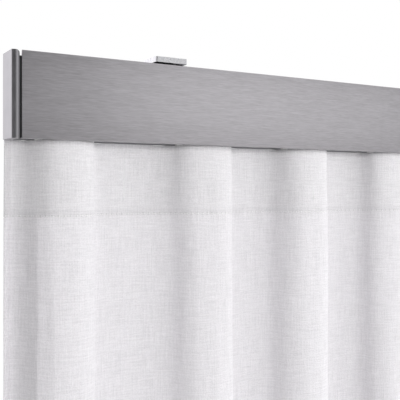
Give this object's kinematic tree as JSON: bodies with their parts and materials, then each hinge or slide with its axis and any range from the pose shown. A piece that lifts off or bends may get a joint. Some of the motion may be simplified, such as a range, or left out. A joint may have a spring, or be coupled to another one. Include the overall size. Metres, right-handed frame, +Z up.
{
  "type": "curtain track",
  "caption": "Ceiling curtain track with a flat brushed fascia, end caps, clip-in brackets, sliding gliders and a sheer curtain hanging in even folds.",
  "frame": {"origin": "midway between the two ceiling screw holes, on the ceiling plane", "axes": "+X along the track, +Y towards the wall, +Z up; the fascia faces -Y"},
  "size_m": [0.9184, 0.039, 0.968],
  "materials": {
    "rail_aluminium": "anodised, satin",
    "fascia_metal": "brushed along its length",
    "cap_metal": "smooth satin",
    "galvanised_steel": "galvanised, grainy",
    "zinc_steel": "zinc plated",
    "black_plastic": "moulded, matt",
    "white_plastic": "moulded, satin",
    "sheer_cloth": "sheer linen weave",
    "tape_cloth": "stiff woven tape"
  },
  "bodies": {
    "track": {"carrier_rail": "rail_aluminium", "fascia": "fascia_metal", "end_cap_left": "cap_metal", "end_cap_right": "cap_metal", "end_plug_left": "black_plastic", "end_plug_right": "black_plastic", "end_stop_left": "white_plastic", "end_stop_right": "white_plastic", "stop_screw_left": "zinc_steel", "stop_screw_right": "zinc_steel", "clamp_plate_left": "galvanised_steel", "clamp_plate_right": "galvanised_steel", "eyelet_left": "zinc_steel", "eyelet_right": "zinc_steel", "curtain": "sheer_cloth", "heading_tape": "tape_cloth", "hook_01": "white_plastic"},
    "cam_left": {"cam_left": "black_plastic"},
    "cam_right": {"cam_right": "black_plastic"},
    "glider_02": {"glider_02": "white_plastic", "hook_02": "white_plastic"},
    "glider_03": {"glider_03": "white_plastic", "hook_03": "white_plastic"},
    "glider_04": {"glider_04": "white_plastic", "hook_04": "white_plastic"},
    "glider_05": {"glider_05": "white_plastic", "hook_05": "white_plastic"},
    "glider_06": {"glider_06": "white_plastic", "hook_06": "white_plastic"},
    "glider_07": {"glider_07": "white_plastic", "hook_07": "white_plastic"},
    "glider_08": {"glider_08": "white_plastic", "hook_08": "white_plastic"},
    "glider_09": {"glider_09": "white_plastic", "hook_09": "white_plastic"},
    "glider_10": {"glider_10": "white_plastic", "hook_10": "white_plastic"},
    "glider_11": {"glider_11": "white_plastic", "hook_11": "white_plastic"},
    "glider_12": {"glider_12": "white_plastic", "hook_12": "white_plastic"},
    "lead_carrier": {"lead_carrier": "white_plastic", "hook_13": "white_plastic"}
  },
  "joints": [
    {"name": "cam_turn_left", "type": "hinge", "parent": "track", "child": "cam_left", "pos_m": [-0.296, 0, -0.01], "axis": [0, 0, 1], "range_deg": [0, 90]},
    {"name": "cam_turn_right", "type": "hinge", "parent": "track", "child": "cam_right", "pos_m": [0.296, 0, -0.01], "axis": [0, 0, 1], "range_deg": [0, 90]},
    {"name": "lead_slide", "type": "slide", "parent": "track", "child": "lead_carrier", "axis": [-1, 0, 0], "range_m": [0, 0.63145], "deforming": ["curtain", "heading_tape"]},
    {"name": "slide_02", "type": "slide", "parent": "track", "child": "glider_02", "axis": [-1, 0, 0], "range_m": [0, 0.04387]},
    {"name": "slide_03", "type": "slide", "parent": "track", "child": "glider_03", "axis": [-1, 0, 0], "range_m": [0, 0.11036]},
    {"name": "slide_04", "type": "slide", "parent": "track", "child": "glider_04", "axis": [-1, 0, 0], "range_m": [0, 0.1597]},
    {"name": "slide_05", "type": "slide", "parent": "track", "child": "glider_05", "axis": [-1, 0, 0], "range_m": [0, 0.21122]},
    {"name": "slide_06", "type": "slide", "parent": "track", "child": "glider_06", "axis": [-1, 0, 0], "range_m": [0, 0.25764]},
    {"name": "slide_07", "type": "slide", "parent": "track", "child": "glider_07", "axis": [-1, 0, 0], "range_m": [0, 0.30916]},
    {"name": "slide_08", "type": "slide", "parent": "track", "child": "glider_08", "axis": [-1, 0, 0], "range_m": [0, 0.36398]},
    {"name": "slide_09", "type": "slide", "parent": "track", "child": "glider_09", "axis": [-1, 0, 0], "range_m": [0, 0.41879]},
    {"name": "slide_10", "type": "slide", "parent": "track", "child": "glider_10", "axis": [-1, 0, 0], "range_m": [0, 0.4736]},
    {"name": "slide_11", "type": "slide", "parent": "track", "child": "glider_11", "axis": [-1, 0, 0], "range_m": [0, 0.52622]},
    {"name": "slide_12", "type": "slide", "parent": "track", "child": "glider_12", "axis": [-1, 0, 0], "range_m": [0, 0.57884]}
  ],
  "couplings": [
    {"joint": "slide_02", "follows": "lead_slide", "ratio": 0.069461},
    {"joint": "slide_03", "follows": "lead_slide", "ratio": 0.17476},
    {"joint": "slide_04", "follows": "lead_slide", "ratio": 0.25289},
    {"joint": "slide_05", "follows": "lead_slide", "ratio": 0.33449},
    {"joint": "slide_06", "follows": "lead_slide", "ratio": 0.408},
    {"joint": "slide_07", "follows": "lead_slide", "ratio": 0.4896},
    {"joint": "slide_08", "follows": "lead_slide", "ratio": 0.5764},
    {"joint": "slide_09", "follows": "lead_slide", "ratio": 0.6632},
    {"joint": "slide_10", "follows": "lead_slide", "ratio": 0.75},
    {"joint": "slide_11", "follows": "lead_slide", "ratio": 0.83333},
    {"joint": "slide_12", "follows": "lead_slide", "ratio": 0.91667}
  ]
}
